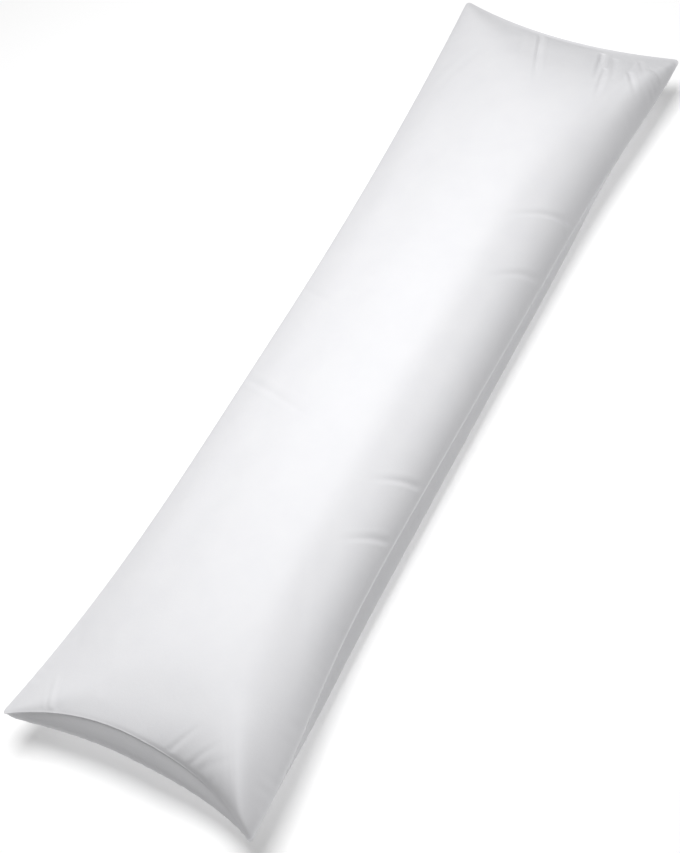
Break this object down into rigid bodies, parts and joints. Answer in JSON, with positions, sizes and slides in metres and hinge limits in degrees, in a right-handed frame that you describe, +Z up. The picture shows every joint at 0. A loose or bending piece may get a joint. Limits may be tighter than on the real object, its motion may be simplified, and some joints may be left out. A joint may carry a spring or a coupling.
{
  "type": "body pillow",
  "caption": "Long rectangular filled cloth pillow with a crowned face, drawn-in edges, pointed corners and a thin sewn seam lip all round; lies flat on its back.",
  "frame": {"origin": "on the supporting surface, under the middle of the pillow", "axes": "+X along the pillow to its head end, +Y across it to its left edge, +Z up through the crowned face"},
  "size_m": [1.409, 0.3817, 0.1588],
  "materials": {
    "cotton_white": "matte, fine plain weave"
  },
  "bodies": {
    "root": {"pillow": "cotton_white"}
  },
  "joints": []
}
